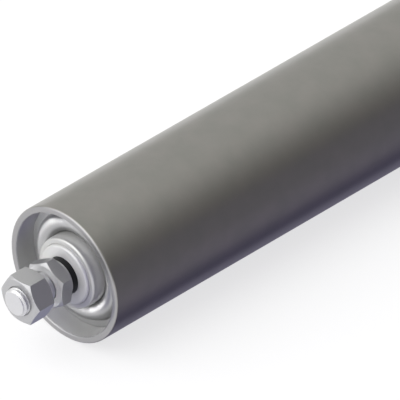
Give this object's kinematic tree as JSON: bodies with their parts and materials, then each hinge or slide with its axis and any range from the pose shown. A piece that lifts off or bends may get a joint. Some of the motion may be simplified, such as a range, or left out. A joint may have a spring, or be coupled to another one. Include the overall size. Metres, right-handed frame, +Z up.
{
  "type": "conveyor roller",
  "caption": "Steel tube that turns on ball bearings around a fixed shaft, whose threaded ends are clamped to a conveyor's side frames by nuts.",
  "frame": {"origin": "centre of the roller, halfway along the shaft's axis", "axes": "+Y along the shaft from the front end to the rear end, +Z up, +X to the right seen from the front end"},
  "size_m": [0.06, 0.355, 0.06],
  "materials": {
    "plated_tube": "drawn steel tube, zinc plated, satin",
    "drawn_shaft": "bright drawn steel, threaded ends",
    "plated_pressing": "pressed sheet steel, zinc plated",
    "plated_cup": "turned steel, zinc plated",
    "plated_nut": "cold-formed steel, zinc plated",
    "black_steel": "turned steel, black oxide",
    "bearing_steel": "ground and polished bearing steel",
    "cage_nylon": "moulded nylon",
    "shield_rubber": "nitrile rubber on a steel washer",
    "spring_steel": "spring steel, phosphated"
  },
  "bodies": {
    "axle": {"shaft": "drawn_shaft", "front_inner_ring": "bearing_steel", "front_circlip": "spring_steel", "front_spacer": "black_steel", "front_washer": "plated_nut", "front_lock_nut": "plated_nut", "front_clamp_nut": "plated_nut", "rear_inner_ring": "bearing_steel", "rear_circlip": "spring_steel", "rear_spacer": "black_steel", "rear_washer": "plated_nut", "rear_lock_nut": "plated_nut", "rear_clamp_nut": "plated_nut"},
    "drum": {"tube": "plated_tube", "front_end_disc": "plated_pressing", "front_bearing_cup": "plated_cup", "front_cover": "plated_pressing", "front_outer_ring": "bearing_steel", "front_outboard_shield": "shield_rubber", "front_inboard_shield": "shield_rubber", "rear_end_disc": "plated_pressing", "rear_bearing_cup": "plated_cup", "rear_cover": "plated_pressing", "rear_outer_ring": "bearing_steel", "rear_outboard_shield": "shield_rubber", "rear_inboard_shield": "shield_rubber"},
    "front_ball_set": {"front_ball_cage": "cage_nylon", "front_ball_1": "bearing_steel", "front_ball_2": "bearing_steel", "front_ball_3": "bearing_steel", "front_ball_4": "bearing_steel", "front_ball_5": "bearing_steel", "front_ball_6": "bearing_steel", "front_ball_7": "bearing_steel", "front_ball_8": "bearing_steel"},
    "rear_ball_set": {"rear_ball_cage": "cage_nylon", "rear_ball_1": "bearing_steel", "rear_ball_2": "bearing_steel", "rear_ball_3": "bearing_steel", "rear_ball_4": "bearing_steel", "rear_ball_5": "bearing_steel", "rear_ball_6": "bearing_steel", "rear_ball_7": "bearing_steel", "rear_ball_8": "bearing_steel"}
  },
  "joints": [
    {"name": "roller_spin", "type": "hinge", "parent": "axle", "child": "drum", "pos_m": [0, 0, 0], "axis": [0, 1, 0], "continuous": true},
    {"name": "front_ball_set_spin", "type": "hinge", "parent": "axle", "child": "front_ball_set", "pos_m": [0, 0, 0], "axis": [0, 1, 0], "continuous": true},
    {"name": "rear_ball_set_spin", "type": "hinge", "parent": "axle", "child": "rear_ball_set", "pos_m": [0, 0, 0], "axis": [0, 1, 0], "continuous": true}
  ],
  "couplings": [
    {"joint": "front_ball_set_spin", "follows": "roller_spin", "ratio": 0.61905},
    {"joint": "rear_ball_set_spin", "follows": "roller_spin", "ratio": 0.61905}
  ]
}
